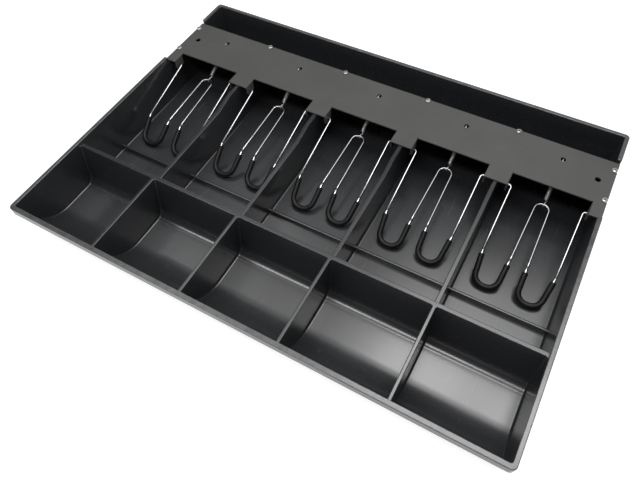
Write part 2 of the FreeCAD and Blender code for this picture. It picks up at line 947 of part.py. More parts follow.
def biarc(start, start_heading, end, end_heading):
    """Two arcs that join two points smoothly and keep the heading at each."""
    chord = end - start
    both = start_heading + end_heading
    spread = 2 * (1 - start_heading.dot(end_heading))
    along = chord.dot(both)
    if spread < 1e-9:
        reach = chord.dot(chord) / (4 * chord.dot(end_heading))
    else:
        reach = (math.sqrt(along * along + spread * chord.dot(chord)) - along) / spread
    joint = (start + start_heading * reach + end - end_heading * reach) / 2
    first = arc_between(start, start_heading, joint)
    second_start = end_heading * -1
    second = arc_between(end, second_start, joint)
    return [first, second]


def spring_knots():
    """Points and headings along a spring's wire, from its lower hook to its upper one."""
    wire = cell.spring_wire.number
    arch = place(0, arch_line.number, cell.arch_drop.number)
    plate_middle = cell.plate_drop.number + cell.plate_thickness.number / 2
    hook_line = anchor_line.number - cell.hook_radius.number
    anchor = place(0, hook_line, plate_middle)
    along = (anchor - arch).normalize()
    across = Vector(1, 0, 0)
    below = along.cross(across)
    eye = cell.clip_wire.number + wire + cell.hook_clearance.number
    hook = cell.hook_radius.number
    coil = cell.coil_radius.number
    start = cell.coil_start.number
    rise = cell.coil_length.number
    knots = []

    def on_eye(angle):
        turn = math.radians(angle)
        spot = arch + along * (eye * math.cos(turn)) + below * (eye * math.sin(turn))
        return spot, below * math.cos(turn) - along * math.sin(turn)

    eye_angles = (50, 120, 195, 270)
    first_spot, first_heading = on_eye(eye_angles[0])
    cut_end = 2 * wire
    knots.append((first_spot - first_heading * cut_end, first_heading))
    knots.extend(on_eye(angle) for angle in eye_angles)

    climb = rise / (2 * math.pi * COIL_TURNS)
    for half_turns in range(2 * COIL_TURNS + 1):
        turn = math.pi * half_turns
        spot = arch + along * (start + climb * turn)
        spot += across * (coil * math.cos(turn)) + below * (coil * math.sin(turn))
        heading = below * (coil * math.cos(turn)) - across * (coil * math.sin(turn))
        heading += along * climb
        knots.append((spot, heading.normalize()))

    leader = start + rise + coil
    knots.append((arch + along * leader + below * hook, along))

    def on_hook(angle):
        turn = math.radians(angle)
        spot = anchor + below * (hook * math.cos(turn)) + along * (hook * math.sin(turn))
        return spot, along * math.cos(turn) - below * math.sin(turn)

    hook_angles = (0, 90, 180)
    knots.extend(on_hook(angle) for angle in hook_angles)
    last_spot, last_heading = knots[-1]
    knots.append((last_spot + last_heading * cell.hook_end.number, last_heading))
    return knots


def least_gap(edges, radius):
    """The least distance between stretches of a wire that aren't neighbours, surface to surface."""
    steps_per_radius = 2
    radii_between_neighbours = 6
    route = Part.Wire(edges)
    spots = route.discretize(Distance=radius / steps_per_radius)
    apart = radii_between_neighbours * steps_per_radius
    nearest = min(
        (spots[first] - spots[second]).Length
        for first in range(len(spots))
        for second in range(first + apart, len(spots))
    )
    return nearest - 2 * radius


def clip_spring():
    """One extension spring: a hook round the arch, the coil, a long leader and a hook."""
    edges = []
    knots = spring_knots()
    for (start, start_heading), (end, end_heading) in zip(knots, knots[1:]):
        straight = (end - start).normalize()
        if (straight - start_heading).Length < 1e-6 and (straight - end_heading).Length < 1e-6:
            edges.append(Part.LineSegment(start, end).toShape())
        else:
            edges.extend(biarc(start, start_heading, end, end_heading))
    wire = cell.spring_wire.number
    print(f"spring: least gap to itself {least_gap(edges, wire):.2f} mm")
    return wound_wire(edges, wire)


def make_clips():
    """Five like clips, each a wire, two sleeves and a spring."""
    wire, left, right, spring = clip_wire(), sleeve(-1), sleeve(1), clip_spring()
    made = []
    for bay in range(BAYS):
        made.append(new_feature(f"note_clip_wire_{bay + 1}", wire, bay))
        made.append(new_feature(f"left_sleeve_{bay + 1}", left, bay))
        made.append(new_feature(f"right_sleeve_{bay + 1}", right, bay))
        made.append(new_feature(f"clip_spring_{bay + 1}", spring, bay))
    return made


def check_document(nodes):
    """Stop if any object failed, or if a piece isn't a sound solid."""
    for thing in document.Objects:
        if "Invalid" in thing.State or "Error" in thing.State:
            raise RuntimeError(f"{thing.Label} could not be worked out: {thing.State}")
    for node in nodes:
        if node.Shape.isNull() or not node.Shape.isValid():
            raise RuntimeError(f"{node.Label} is not a sound solid")


def main():
    nodes = [make_tray(), make_cover_plate()]
    nodes.append(make_screws("rear_cover_screws", rear_screw_places()))
    nodes.append(make_screws("end_cover_screws", end_screw_places()))
    nodes.extend(make_clips())
    document.recompute()
    check_document(nodes)
    os.makedirs("parts", exist_ok=True)
    for node in nodes:
        node.Shape.exportStep(os.path.join("parts", node.Label + ".step"))
        print(f"{node.Label}: {len(node.Shape.Solids)} solids, {node.Shape.Volume:.1f} mm3")


main()
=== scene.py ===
"""Cash drawer insert: its looks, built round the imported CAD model. Lengths are in metres."""

import math
from contextlib import contextmanager

import bmesh
import bpy
from mathutils import Matrix, Vector


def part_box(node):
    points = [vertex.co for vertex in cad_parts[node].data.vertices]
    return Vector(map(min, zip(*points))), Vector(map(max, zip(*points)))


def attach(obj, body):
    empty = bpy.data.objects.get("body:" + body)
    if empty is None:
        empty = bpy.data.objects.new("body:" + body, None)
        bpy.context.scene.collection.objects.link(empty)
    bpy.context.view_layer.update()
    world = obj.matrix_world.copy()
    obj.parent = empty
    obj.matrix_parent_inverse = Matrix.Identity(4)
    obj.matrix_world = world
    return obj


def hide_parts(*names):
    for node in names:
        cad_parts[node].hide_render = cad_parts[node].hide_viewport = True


bl_info = {
    "name": "Cash drawer insert",
    "version": (1, 0, 0),
    "blender": (4, 5, 0),
    "location": "View3D > Sidebar > Insert",
    "description": "Builds the moulded tray, cover plate, note clips and springs of a cash insert",
    "category": "Add Mesh",
}

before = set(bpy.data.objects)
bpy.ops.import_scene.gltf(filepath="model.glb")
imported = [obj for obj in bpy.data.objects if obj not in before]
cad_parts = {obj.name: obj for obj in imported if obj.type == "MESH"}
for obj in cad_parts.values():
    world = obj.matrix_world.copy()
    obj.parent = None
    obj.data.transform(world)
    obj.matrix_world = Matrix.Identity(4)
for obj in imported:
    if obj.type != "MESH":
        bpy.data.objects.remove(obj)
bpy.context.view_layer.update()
MM = 0.001
BAYS = range(1, 6)
TRAY_LOW, TRAY_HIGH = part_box("tray")
FRONT_EDGE = TRAY_LOW.y
RIM_TOP = TRAY_HIGH.z
PLATE_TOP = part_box("cover_plate")[1].z
WHITE = (1.0, 1.0, 1.0, 1.0)


def point(across, line, drop):
    """A point in metres, from millimetres across, back from the front edge and below the rim."""
    return Vector((across * MM, FRONT_EDGE + line * MM, RIM_TOP - drop * MM))


def bay_centre(bay):
    """X of a bay's middle, read from its clip."""
    low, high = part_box(f"note_clip_wire_{bay}")
    return (low.x + high.x) / 2


# The clip's wire, from its outer pin to the arch. Each corner is given in millimetres as point()
# takes it, and then the radius of its bend.
ELBOW_BEND = 12.0
LOOP_BEND = 8.3
HALF_CLIP = [
    (33.0, 199.6, 9.7, None),
    (27.0, 199.6, 9.7, 2.2),
    (27.0, 146.5, 24.8, ELBOW_BEND),
    (24.5, 124.5, 38.1, LOOP_BEND),
    (7.5, 124.5, 38.1, LOOP_BEND),
    (6.5, 146.5, 24.8, ELBOW_BEND),
    (5.3, 200.9, 19.0, 5.2),
]
WIRE_SIDES = 14
# A bend has one step for each of these, and two at least
DEGREES_PER_STEP = 9

# A sleeve starts this far past the bend of its elbow
SLEEVE_START = 2.0 * MM
SLEEVE_CLEARANCE = 0.05 * MM
SLEEVE_SIDES = 20

# The springs run from the arch to the plate's hook. The stub is the part that stays in the plate.
ARCH = point(0, 200.9, 19.0)
PLATE_HOOK = point(0, 234.9, 3.6)
SPRING_WIRE = 0.3 * MM
EYE_RADIUS = 1.45 * MM
EYE_DEGREES = range(20, 271, 25)
COIL_RADIUS = 1.5 * MM
COIL_START = 4.5 * MM
COIL_LENGTH = 14.5 * MM
POINTS_PER_TURN = 12
LEADER_STEP = 1.5 * MM
LEADER_END = 2.0 * MM
STUB_LENGTH = 10.0 * MM
STUB_END = 1.0 * MM
HOOK_RADIUS = 1.6 * MM
HOOK_DEGREES = range(0, 181, 20)
HOOK_TAIL = 1.0 * MM

# A pan-head screw, whose head reaches past its shank by the shoulder. Its recess is a cross of two
# bars, narrower at the bottom.
HEAD_RADIUS = 2.2 * MM
HEAD_HEIGHT = 1.3 * MM
HEAD_ROUNDING = 0.85 * MM
HEAD_ROUNDING_STEPS = 5
HEAD_SIDES = 32
SHOULDER = 1.1 * MM
SHANK_LENGTH = 5.8 * MM
TIP_LENGTH = 1.2 * MM
TIP_TAPER = 0.5
RECESS_LENGTH = 2.4 * MM
RECESS_WIDTH = 0.52 * MM
RECESS_TAPER = 0.55
RECESS_TURN = math.radians(20)
SCREWS_PER_NODE = 4
# Points above the plate by this much are on a head, and those this near to each other on the same
ABOVE_PLATE = 0.1 * MM
SAME_SCREW = 6 * MM
# Each screw is turned by this from the one before, in radians
SCREW_TURN = 0.7

# Edges that turn by more than these, in degrees, stay sharp in the light
SOLID_CREASE = 30
TUBE_CREASE = 40
SPRING_CREASE = 50

# Softened edges: the steps in a rounding, the least angle of a corner, and how far below the rim
# the tops of the tray's walls may lie
ROUNDING_STEPS = 3
CORNER_ANGLE = math.radians(40)
WALL_TOPS = 14 * MM
# At full weight the larger of two faces sets the shading of the points they share
LARGE_FACES_LEAD = 100

# Points nearer to each other than these are one point, in a new mesh and in a CAD mesh
DOUBLES = 0.001 * MM
CAD_DOUBLES = 0.002 * MM
# Faces of a CAD mesh within this angle of each other are one flat face
SAME_FLAT = math.radians(0.6)
# Points this near to the plane of a tube's end are on that end
END_PLANE = 0.02 * MM
# A face whose normal points lower than this looks down
DOWNWARD = -0.9

# The floor lies just below the tray, whose underside would otherwise be lost in it
FLOOR_SIZE = 8.0
FLOOR_DROP = 0.1 * MM

# Soft lamps: name, place, point faced, width, height, and brightness as a multiple of white. No
# two are at one height, because lamps in one plane lose part of their reflection in the plastic.
LAMPS = (
    ("overhead", (-0.1, 0.02, 0.76), (-0.1, 0.02, 0), 0.92, 1.0, 0.7),
    ("key", (0.18, 0.13, 0.7), (0.18, 0.13, 0), 0.4, 0.2, 6.2),
    ("key_left", (-0.29, 0.12, 0.69), (-0.29, 0.12, 0), 0.56, 0.18, 1.0),
    ("key_back", (0.2, 0.33, 0.71), (0.2, 0.33, 0), 0.42, 0.22, 2.3),
    ("front", (-0.11, -0.28, 0.67), (-0.11, -0.28, 0), 0.76, 0.12, 8.2),
    ("back", (0, 1.1, 0.47), (0, 0, 0.47), 2.2, 0.92, 0.5),
)

# The backdrop is white up to the first height above the horizon, and the ceiling begins at the
# second, each the upward part of a direction of length 1
BACKDROP_TOP = 0.12
CEILING_EDGE = 0.3

# The viewpoint, solved from the straight edges of the tray in the photograph
VIEW_RIGHT = Vector((0.87496638, 0.48288315, -0.03546396))
VIEW_DOWN = Vector((0.38818641, -0.74338298, -0.54469539))
VIEW_AHEAD = Vector((-0.28938752, 0.46282353, -0.83788379))
VIEW_PLACE = Vector((0.1395, -0.2374, 0.3690))
SENSOR_WIDTH = 36.0


class TrayLooks(bpy.types.PropertyGroup):
    """What the tray's plastic looks like"""

    colour: bpy.props.FloatVectorProperty(
        name="Plastic colour",
        description="Colour of the moulded plastic",
        subtype="COLOR",
        size=4,
        min=0.0,
        max=1.0,
        default=(0.026, 0.0272, 0.0295, 1.0),
    )
    roughness: bpy.props.FloatProperty(
        name="Roughness",
        description="How far the plastic spreads a reflection",
        subtype="FACTOR",
        min=0.0,
        max=1.0,
        default=0.22,
    )
    # Colour of the painted highlight on the rim tops, where the light catches the rim, laid on in
    # patches like rubbing
    lighter_marks: bpy.props.FloatVectorProperty(
        name="Scuffed colour",
        description="Colour of the plastic where the rim and the dividers are rubbed",
        subtype="COLOR",
        size=4,
        min=0.0,
        max=1.0,
        default=(0.095, 0.097, 0.098, 1.0),
    )
    edge: bpy.props.FloatProperty(
        name="Edge rounding",
        description="Width of the rounding on the moulding's edges",
        subtype="DISTANCE",
        unit="LENGTH",
        default=0.55 * MM,
    )


class MetalLooks(bpy.types.PropertyGroup):
    """What the steel pieces look like"""

    paint: bpy.props.FloatVectorProperty(
        name="Paint colour",
        description="Colour of the cover plate's paint",
        subtype="COLOR",
        size=4,
        min=0.0,
        max=1.0,
        default=(0.07, 0.0715, 0.066, 1.0),
    )
    plate_edge: bpy.props.FloatProperty(
        name="Plate edge rounding",
        description="Width of the rounding on the sheet's cut edges",
        subtype="DISTANCE",
        unit="LENGTH",
        default=0.18 * MM,
    )
    recess: bpy.props.FloatProperty(
        name="Screw recess depth",
        description="Depth of the cross recess in a screw's head",
        subtype="DISTANCE",
        unit="LENGTH",
        default=0.9 * MM,
    )


class ClipLooks(bpy.types.PropertyGroup):
    """The note clips' wire, sleeves and springs"""

    wire: bpy.props.FloatProperty(
        name="Wire radius",
        description="Radius of the clip's wire",
        subtype="DISTANCE",
        unit="LENGTH",
        default=1.0 * MM,
    )
    sleeve: bpy.props.FloatProperty(
        name="Sleeve radius",
        description="Outer radius of the vinyl sleeves",
        subtype="DISTANCE",
        unit="LENGTH",
        default=2.2 * MM,
    )
    sleeve_colour: bpy.props.FloatVectorProperty(
        name="Sleeve colour",
        description="Colour of the vinyl",
        subtype="COLOR",
        size=4,
        min=0.0,
        max=1.0,
        default=(0.006, 0.006, 0.007, 1.0),
    )
    turns: bpy.props.IntProperty(
        name="Spring turns",
        description="Turns in each spring's coil",
        min=10,
        max=24,
        default=18,
    )


class StageLooks(bpy.types.PropertyGroup):
    """The floor, lamps and camera"""

    floor_colour: bpy.props.FloatVectorProperty(
        name="Floor colour",
        description="Colour of the floor",
        subtype="COLOR",
        size=4,
        min=0.0,
        max=1.0,
        default=(0.35, 0.35, 0.35, 1.0),
    )
    floor_glow: bpy.props.FloatProperty(
        name="Floor glow",
        description="Light the floor gives where it is seen, which lifts it to near white",
        subtype="FACTOR",
        min=0.0,
        max=1.0,
        default=0.87,
    )
    lens: bpy.props.FloatProperty(
        name="Lens",
        description="Focal length on a sensor 36 mm wide",
        unit="CAMERA",
        default=31.064,
    )
    light: bpy.props.FloatProperty(
        name="Light",
        description="Strength of all the lamps together",
        min=0.0,
        default=1.0,
    )
    ceiling: bpy.props.FloatProperty(
        name="Ceiling",
        description="Brightness of the studio above its white backdrop",
        subtype="FACTOR",
        min=0.0,
        max=1.0,
        default=0.1,
    )


# Working on meshes

def select_only(*objects):
    """Select these objects alone, the first of them active."""
    bpy.ops.object.select_all(action="DESELECT")
    for item in objects:
        item.select_set(True)
    bpy.context.view_layer.objects.active = objects[0]


@contextmanager
def editing(item, kind="FACE"):
    """Edit mode on one object, selecting vertices, edges or faces."""
    select_only(item)
    bpy.ops.object.mode_set(mode="EDIT")
    bpy.ops.mesh.select_mode(type=kind)
    try:
        yield
    finally:
        bpy.ops.object.mode_set(mode="OBJECT")


def pick(item, kind, wanted):
    """In edit mode, select the verts, edges or faces that pass a test, and nothing else."""
    bpy.ops.mesh.select_all(action="DESELECT")
    shape = bmesh.from_edit_mesh(item.data)
    found = [part for part in getattr(shape, kind) if wanted(part)]
    for part in found:
        part.select_set(True)
    shape.select_flush_mode()
    bmesh.update_edit_mesh(item.data)
    if not found:
        raise RuntimeError(f"{item.name}: nothing to select")


def settle(item):
    """Put an object's place, turn and scale into its mesh."""
    select_only(item)
    bpy.ops.object.transform_apply(location=True, rotation=True, scale=True)


def finish_with(item, kind, **values):
    """Add a modifier and apply it."""
    select_only(item)
    bpy.ops.object.modifier_add(type=kind)
    modifier = item.modifiers[-1]
    for name, value in values.items():
        setattr(modifier, name, value)
    bpy.ops.object.modifier_apply(modifier=modifier.name)


def smooth(item, degrees):
    """Shade an object smooth, but for the edges that turn by more than this."""
    select_only(item)
    bpy.ops.object.shade_smooth_by_angle(angle=math.radians(degrees))


def soften_edges(item, width, wanted):
    """Round the edges that pass a test, and keep the object's flat faces flat in the light."""
    with editing(item, "EDGE"):
        pick(item, "edges", wanted)
        bpy.ops.mesh.bevel(offset=width, segments=ROUNDING_STEPS, clamp_overlap=False)
    smooth(item, SOLID_CREASE)
    finish_with(
        item, "WEIGHTED_NORMAL", mode="FACE_AREA", weight=LARGE_FACES_LEAD, keep_sharp=True
    )


def is_corner(edge):
    """Whether an edge stands out as a sharp corner."""
    return len(edge.link_faces) == 2 and edge.calc_face_angle_signed() > CORNER_ANGLE


def is_top_corner(edge):
    """Whether an edge runs round the top of the tray's rim or of one of its walls."""
    return is_corner(edge) and min(v.co.z for v in edge.verts) > RIM_TOP - WALL_TOPS


def faces_down(face):
    """Whether a face looks down, or nearly."""
    return face.normal.z < DOWNWARD


def clean(item):
    """Merge doubled points and turn every face outwards."""
    with editing(item):
        bpy.ops.mesh.select_all(action="SELECT")
        bpy.ops.mesh.remove_doubles(threshold=DOUBLES)
        bpy.ops.mesh.normals_make_consistent(inside=False)


def copy_of_node(node, name):
    """A merged copy of a CAD node's mesh, with its flat faces whole again."""
    item = bpy.data.objects.new(name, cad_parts[node].data.copy())
    bpy.context.scene.collection.objects.link(item)
    with editing(item):
        bpy.ops.mesh.select_all(action="SELECT")
        bpy.ops.mesh.remove_doubles(threshold=CAD_DOUBLES)
        bpy.ops.mesh.dissolve_limited(angle_limit=SAME_FLAT)
    return item


def copies_in_bays(item, stem):
    """Copy a piece that is modelled about X = 0 into every bay, each copy with its own mesh."""
    made = {}
    for bay in BAYS:
        select_only(item)
        bpy.ops.object.duplicate(linked=False)
        copy = bpy.context.object
        copy.name = f"{stem}_{bay}"
        copy.location.x = bay_centre(bay)
        settle(copy)
        made[bay] = copy
    bpy.data.objects.remove(item)
    return made


def paint(item, material):
    """Give a piece this one material."""
    item.data.materials.clear()
    item.data.materials.append(material)


def bent_tube(name, radius, corners, bends, sides=WIRE_SIDES, bore=None):
    """Sweep a round section through the corners, a spin at each bend, as a wire is bent."""
    heading = (corners[1] - corners[0]).normalized()
    turn = heading.to_track_quat("Z", "Y").to_euler()
    rings = []
    for size in (radius, bore):
        if size is None:
            continue
        bpy.ops.object.select_all(action="DESELECT")
        bpy.ops.mesh.primitive_circle_add(
            vertices=sides, radius=size, location=corners[0], rotation=turn
        )
        rings.append(bpy.context.object)
        settle(rings[-1])
    select_only(*rings)
    if len(rings) > 1:
        bpy.ops.object.join()
    tube = bpy.context.object
    tube.name = name
    with editing(tube, "VERT"):
        bpy.ops.mesh.select_all(action="SELECT")
        sweep(corners, bends)
        close_ends(tube, corners, bore)
    clean(tube)
    return tube


def sweep(corners, bends):
    """Extrude the selected rings along the runs and spin them round the bends."""
    last = corners[0]
    for before, corner, after, bend in zip(corners, corners[1:], corners[2:], bends):
        arriving = (corner - before).normalized()
        leaving = (after - corner).normalized()
        angle = arriving.angle(leaving)
        cut = bend * math.tan(angle / 2)
        start = corner - arriving * cut
        extrude_by(start - last)
        axis = arriving.cross(leaving).normalized()
        bpy.ops.mesh.spin(
            steps=max(2, round(math.degrees(angle) / DEGREES_PER_STEP)),
            angle=-angle,
            center=start + axis.cross(arriving) * bend,
            axis=axis,
        )
        last = corner + leaving * cut
    extrude_by(corners[-1] - last)


def extrude_by(run):
    """Extrude what is selected and move it by this vector."""
    bpy.ops.mesh.extrude_region_move(TRANSFORM_OT_translate={"value": run})


def close_ends(tube, corners, bore):
    """Fill both ends of a swept tube, with a disc or with a ring round its bore."""
    for end, inward in ((corners[0], corners[1]), (corners[-1], corners[-2])):
        heading = (inward - end).normalized()

        def on_end(edge, end=end, heading=heading):
            if not edge.is_boundary:
                return False
            return all(abs((v.co - end).dot(heading)) < END_PLANE for v in edge.verts)

        bpy.ops.mesh.select_mode(type="EDGE")
        pick(tube, "edges", on_end)
        if bore is None:
            bpy.ops.mesh.edge_face_add()
        else:
            bpy.ops.mesh.bridge_edge_loops()


# Materials

class Nodes:
    """A node tree, with short calls for what is added to it."""

    def __init__(self, tree):
        self.tree = tree

    def add(self, kind, **settings):
        """Add a node and set its own settings."""
        node = self.tree.nodes.new(kind)
        for name, setting in settings.items():
            setattr(node, name, setting)
        return node

    def feed(self, socket, value):
        """Give a socket a fixed value or a node's output."""
        if isinstance(value, bpy.types.NodeSocket):
            self.tree.links.new(value, socket)
        else:
            socket.default_value = value

    def combine(self, operation, first, second):
        """Join two values by a Math node."""
        node = self.add("ShaderNodeMath", operation=operation)
        self.feed(node.inputs[0], first)
        self.feed(node.inputs[1], second)
        return node.outputs["Value"]

    def upward(self, place):
        """The Z part of a place or a direction."""
        parts = self.add("ShaderNodeSeparateXYZ")
        self.feed(parts.inputs["Vector"], place)
        return parts.outputs["Z"]

    def span(self, value, low, high, start=0.3, end=0.7):
        """Turn a value between start and end into one between low and high."""
        node = self.add("ShaderNodeMapRange")
        for name, number in (
            ("Value", value),
            ("From Min", start),
            ("From Max", end),
            ("To Min", low),
            ("To Max", high),
        ):
            self.feed(node.inputs[name], number)
        return node.outputs["Result"]


class Shader(Nodes):
    """A material's node tree, with short calls for what each finish is made of."""

    def __init__(self, name, colour, roughness, metallic=0.0):
        self.material = bpy.data.materials.new(name)
        self.material.use_nodes = True
        super().__init__(self.material.node_tree)
        self.surface = self.tree.nodes["Principled BSDF"]
        self.put("Base Color", colour)
        self.put("Roughness", roughness)
        self.put("Metallic", metallic)
        self.place = self.add("ShaderNodeTexCoord").outputs["Object"]

    def put(self, name, value):
        """Give one of the surface's sockets a fixed value or a node's output."""
        self.feed(self.surface.inputs[name], value)

    def noise(self, size, detail, stretch=(1.0, 1.0, 1.0), distortion=0.0):
        """Noise whose blotches are about this many metres across."""
        mapping = self.add("ShaderNodeMapping")
        self.feed(mapping.inputs["Scale"], stretch)
        self.feed(mapping.inputs["Vector"], self.place)
        node = self.add("ShaderNodeTexNoise")
        self.feed(node.inputs["Scale"], 1.0 / size)
        self.feed(node.inputs["Detail"], detail)
        self.feed(node.inputs["Distortion"], distortion)
        self.feed(node.inputs["Vector"], mapping.outputs["Vector"])
        return node.outputs["Fac"]

    def height(self, low, high):
        """0 below one height and 1 above another."""
        return self.span(self.upward(self.place), 0.0, 1.0, low, high)

    def mix(self, share, first, second):
        """Blend two colours, each a fixed colour or a node's output."""
        node = self.add("ShaderNodeMix", data_type="RGBA")
        self.feed(node.inputs["Factor"], share)
        sockets = [socket for socket in node.inputs if socket.type == "RGBA"]
        for socket, colour in zip(sockets, (first, second)):
            self.feed(socket, colour)
        return next(socket for socket in node.outputs if socket.type == "RGBA")

    def bump(self, *layers):
        """Relief from (height, depth in metres) pairs, one after another."""
        normal = None
        for height, depth in layers:
            node = self.add("ShaderNodeBump")
            self.feed(node.inputs["Strength"], 1.0)
            self.feed(node.inputs["Distance"], depth)
            self.feed(node.inputs["Height"], height)
            if normal is not None:
                self.feed(node.inputs["Normal"], normal)
            normal = node.outputs["Normal"]
        self.put("Normal", normal)


def scaled(colour, factor):
    """A colour made lighter or darker by a factor."""
    return tuple(min(1.0, part * factor) for part in colour[:3]) + (1.0,)


def moulded_styrene(looks):
    """Black moulded plastic: a fine spark-eroded grain, flow marks, scuffs, dust, and a patchy
    painted highlight on the rim tops.
    """
    shader = Shader("moulded_styrene", looks.colour, looks.roughness)
    shader.put("IOR", 1.65)
    shader.put("Specular IOR Level", 0.6)
    flow = shader.noise(size=0.06, detail=2.0, stretch=(1.0, 0.35, 1.0))
    scuffs = shader.noise(size=0.0022, detail=5.0, stretch=(1.0, 0.08, 1.0), distortion=0.6)
    grain = shader.noise(size=0.00035, detail=2.0)
    dust = shader.noise(size=0.0011, detail=6.0)
    patches = shader.noise(size=0.005, detail=5.0)

    plastic = tuple(looks.colour)
    lighter_marks = shader.span(scuffs, low=0.0, high=1.0, start=0.62, end=0.8)
    worn = shader.mix(lighter_marks, plastic, scaled(looks.colour, 1.8))
    dusted = shader.span(dust, low=0.0, high=0.5, start=0.66, end=0.8)
    dusty = shader.mix(dusted, worn, (0.07, 0.07, 0.068, 1.0))
    # Painted highlight: the rim tops are made lighter, in patches, where the light catches them
    rim_top_highlight = shader.height(RIM_TOP - 1.2 * MM, RIM_TOP - 0.2 * MM)
    lightened = shader.combine("MULTIPLY", rim_top_highlight, shader.span(patches, low=0.35, high=1.0))
    shader.put("Base Color", shader.mix(lightened, dusty, tuple(looks.lighter_marks)))

    low, high = looks.roughness - 0.03, looks.roughness + 0.04
    shader.put("Roughness", shader.span(flow, low, high))
    shader.bump((flow, 0.00006), (grain, 0.000003))
    return shader.material


def grey_paint(looks):
    """Grey stove paint on sheet steel, with a fine orange peel and a few rubbed spots."""
    shader = Shader("grey_paint", looks.paint, roughness=0.5)
    peel = shader.noise(size=0.0009, detail=2.0)
    cloud = shader.noise(size=0.03, detail=3.0)
    rubs = shader.noise(size=0.004, detail=6.0, stretch=(0.25, 1.0, 1.0))

    clouds = shader.span(cloud, low=0.0, high=1.0)
    base = shader.mix(clouds, scaled(looks.paint, 0.92), scaled(looks.paint, 1.08))
    lightened = shader.span(rubs, low=0.0, high=0.6, start=0.64, end=0.78)
    shader.put("Base Color", shader.mix(lightened, base, scaled(looks.paint, 1.5)))
    shader.put("Roughness", shader.span(rubs, low=0.46, high=0.58))
    shader.bump((peel, 0.00002))
    return shader.material


def bright_metal(name, colour, low, high, line=(1.0, 1.0, 1.0)):
    """Bright metal between two roughnesses. Its faint drawing lines are stretched by line."""
    shader = Shader(name, colour, low, metallic=1.0)
    lines = shader.noise(size=0.0004, detail=3.0, stretch=line)
    stain = shader.noise(size=0.009, detail=4.0)
    stained = shader.span(stain, low=0.0, high=1.0)
    shader.put("Base Color", shader.mix(stained, scaled(colour, 0.86), colour))
    shader.put("Roughness", shader.span(lines, low, high))
    shader.bump((lines, 0.000004))
    return shader.material


def black_vinyl(looks):
    """Soft black vinyl tube, a little uneven, with fine dust on it."""
    shader = Shader("black_vinyl", looks.sleeve_colour, roughness=0.45)
    shader.put("Specular IOR Level", 0.3)
    waves = shader.noise(size=0.004, detail=2.0)
    dust = shader.noise(size=0.0006, detail=5.0)

    dusted = shader.span(dust, low=0.0, high=0.5, start=0.64, end=0.8)
    dusty = shader.mix(dusted, tuple(looks.sleeve_colour), (0.03, 0.03, 0.03, 1.0))
    shader.put("Base Color", dusty)
    shader.put("Roughness", shader.span(dust, low=0.4, high=0.56))
    shader.bump((waves, 0.00012), (dust, 0.000008))
    return shader.material


class INSERT_OT_tray(bpy.types.Operator):
    """Build the moulded tray with its edges softened"""

    bl_idname = "cash_insert.tray"
    bl_label = "Moulded tray"

    def execute(self, context):
        looks = context.scene.insert_tray
        tray = copy_of_node("tray", "tray_moulding")
        soften_edges(tray, looks.edge, is_top_corner)
        paint(tray, moulded_styrene(looks))
        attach(tray, "tray")
        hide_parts("tray")
        return {"FINISHED"}


class INSERT_OT_plate(bpy.types.Operator):
    """Build the painted cover plate with its cut edges softened"""

    bl_idname = "cash_insert.plate"
    bl_label = "Cover plate"

    def execute(self, context):
        looks = context.scene.insert_metal
        plate = copy_of_node("cover_plate", "painted_plate")
        soften_edges(plate, looks.plate_edge, is_corner)
        paint(plate, grey_paint(looks))
        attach(plate, "tray")
        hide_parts("cover_plate")
        return {"FINISHED"}


def pan_head_screw(recess):
    """One screw at the origin, its head's underside at Z = 0, with a cross recess."""
    bpy.ops.object.select_all(action="DESELECT")
    bpy.ops.mesh.primitive_cylinder_add(
        vertices=HEAD_SIDES,
        radius=HEAD_RADIUS,
        depth=HEAD_HEIGHT,
        location=(0, 0, HEAD_HEIGHT / 2),
    )
    screw = bpy.context.object
    settle(screw)
    with editing(screw, "EDGE"):
        pick(screw, "edges", lambda edge: all(v.co.z > HEAD_HEIGHT / 2 for v in edge.verts))
        bpy.ops.mesh.bevel(offset=HEAD_ROUNDING, segments=HEAD_ROUNDING_STEPS, profile=0.5)
        bpy.ops.mesh.select_mode(type="FACE")
        pick(screw, "faces", faces_down)
        bpy.ops.mesh.inset(thickness=SHOULDER)
        extrude_by(Vector((0, 0, -SHANK_LENGTH)))
        extrude_by(Vector((0, 0, -TIP_LENGTH)))
        bpy.ops.transform.resize(value=(TIP_TAPER, TIP_TAPER, 1.0))
    cutters = []
    for turn in (0.0, math.pi / 2):
        bpy.ops.object.select_all(action="DESELECT")
        bpy.ops.mesh.primitive_cube_add(
            size=1.0, location=(0, 0, HEAD_HEIGHT), rotation=(0, 0, turn + RECESS_TURN)
        )
        cutter = bpy.context.object
        cutter.scale = (RECESS_LENGTH, RECESS_WIDTH, 2 * recess)
        settle(cutter)
        with editing(cutter):
            pick(cutter, "faces", faces_down)
            bpy.ops.transform.resize(value=(RECESS_TAPER, RECESS_TAPER, 1.0))
        cutters.append(cutter)
    for cutter in cutters:
        finish_with(screw, "BOOLEAN", operation="DIFFERENCE", object=cutter, solver="EXACT")
        bpy.data.objects.remove(cutter)
    clean(screw)
    smooth(screw, SOLID_CREASE)
    return screw


def screw_centres(node):
    """The middles of the screw heads in a CAD node, from the clusters of its highest points."""
    clusters = []
    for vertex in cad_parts[node].data.vertices:
        if vertex.co.z < PLATE_TOP + ABOVE_PLATE:
            continue
        near = [cluster for cluster in clusters if (cluster[0] - vertex.co).length < SAME_SCREW]
        if near:
            near[0].append(vertex.co.copy())
        else:
            clusters.append([vertex.co.copy()])
    centres = []
    for cluster in clusters:
        xs, ys = [spot.x for spot in cluster], [spot.y for spot in cluster]
        centres.append(Vector(((min(xs) + max(xs)) / 2, (min(ys) + max(ys)) / 2, PLATE_TOP)))
    return centres


